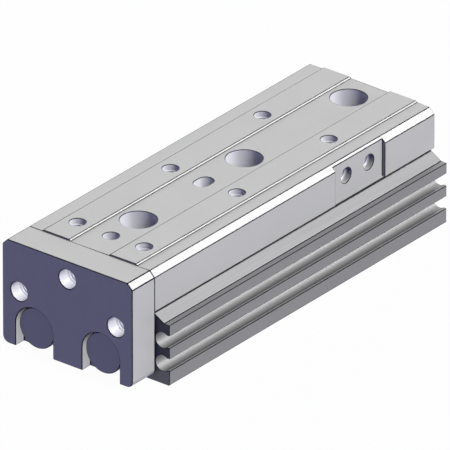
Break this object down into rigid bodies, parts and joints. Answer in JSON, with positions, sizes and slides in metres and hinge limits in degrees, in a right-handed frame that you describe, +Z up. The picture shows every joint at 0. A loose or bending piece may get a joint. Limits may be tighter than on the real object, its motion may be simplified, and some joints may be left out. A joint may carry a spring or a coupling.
{
  "type": "pneumatic slide table",
  "caption": "Compact pneumatic slide table: twin-cylinder body, cross-roller guide and a tapped table with an end plate that travels out over the front.",
  "frame": {"origin": "middle of the whole object's base at rest, on the mounting face", "axes": "+Y from the end plate to the rear along the travel, +X to the sensor groove side, +Z up from the mounting face"},
  "size_m": [0.047, 0.115, 0.0295],
  "materials": {
    "anodised_body": "extruded aluminium, grey hard anodised, matt",
    "table_aluminium": "milled aluminium, clear anodised, satin",
    "hardened_steel": "ground and hardened bearing steel",
    "black_screws": "alloy steel, black oxide",
    "spring_steel": "spring steel, phosphated",
    "cover_aluminium": "turned aluminium, clear anodised",
    "chromed_rod": "hard chromed and polished",
    "nitrile": "moulded nitrile rubber",
    "bumper_rubber": "moulded polyurethane rubber",
    "acetal": "acetal resin",
    "bonded_magnet": "plastic bonded ferrite",
    "nut_steel": "turned stainless steel",
    "cage_steel": "pressed stainless strip",
    "roller_steel": "lapped bearing steel"
  },
  "bodies": {
    "housing": {"body": "anodised_body", "centre_rail": "hardened_steel", "centre_rail_screws": "black_screws", "front_cage_stop": "spring_steel", "front_stop_screws": "black_screws", "rod_cover_left": "cover_aluminium", "rod_seal_left": "nitrile", "cover_seal_left": "nitrile", "front_ring_left": "spring_steel", "rod_bumper_left": "bumper_rubber", "head_bumper_left": "bumper_rubber", "head_cap_left": "cover_aluminium", "head_cap_seal_left": "nitrile", "rear_ring_left": "spring_steel", "rod_cover_right": "cover_aluminium", "rod_seal_right": "nitrile", "cover_seal_right": "nitrile", "front_ring_right": "spring_steel", "rod_bumper_right": "bumper_rubber", "head_bumper_right": "bumper_rubber", "head_cap_right": "cover_aluminium", "head_cap_seal_right": "nitrile", "rear_ring_right": "spring_steel"},
    "table": {"table": "table_aluminium", "end_plate": "table_aluminium", "end_plate_screws": "black_screws", "table_rail_left": "hardened_steel", "table_rail_screws_left": "black_screws", "rear_cage_stop_left": "spring_steel", "rear_stop_screw_left": "black_screws", "piston_rod_left": "chromed_rod", "piston_left": "cover_aluminium", "piston_seal_left": "nitrile", "wear_ring_left": "acetal", "piston_magnet_left": "bonded_magnet", "floating_nut_left": "nut_steel", "thrust_collar_left": "nut_steel", "table_rail_right": "hardened_steel", "table_rail_screws_right": "black_screws", "rear_cage_stop_right": "spring_steel", "rear_stop_screw_right": "black_screws", "piston_rod_right": "chromed_rod", "piston_right": "cover_aluminium", "piston_seal_right": "nitrile", "wear_ring_right": "acetal", "piston_magnet_right": "bonded_magnet", "floating_nut_right": "nut_steel", "thrust_collar_right": "nut_steel"},
    "left_cage": {"roller_cage_left": "cage_steel", "rollers_left": "roller_steel"},
    "right_cage": {"roller_cage_right": "cage_steel", "rollers_right": "roller_steel"}
  },
  "joints": [
    {"name": "table_slide", "type": "slide", "parent": "housing", "child": "table", "axis": [0, -1, 0], "range_m": [0, 0.05]},
    {"name": "left_cage_slide", "type": "slide", "parent": "housing", "child": "left_cage", "axis": [0, -1, 0], "range_m": [0, 0.025]},
    {"name": "right_cage_slide", "type": "slide", "parent": "housing", "child": "right_cage", "axis": [0, -1, 0], "range_m": [0, 0.025]}
  ],
  "couplings": [
    {"joint": "left_cage_slide", "follows": "table_slide", "ratio": 0.5},
    {"joint": "right_cage_slide", "follows": "table_slide", "ratio": 0.5}
  ]
}
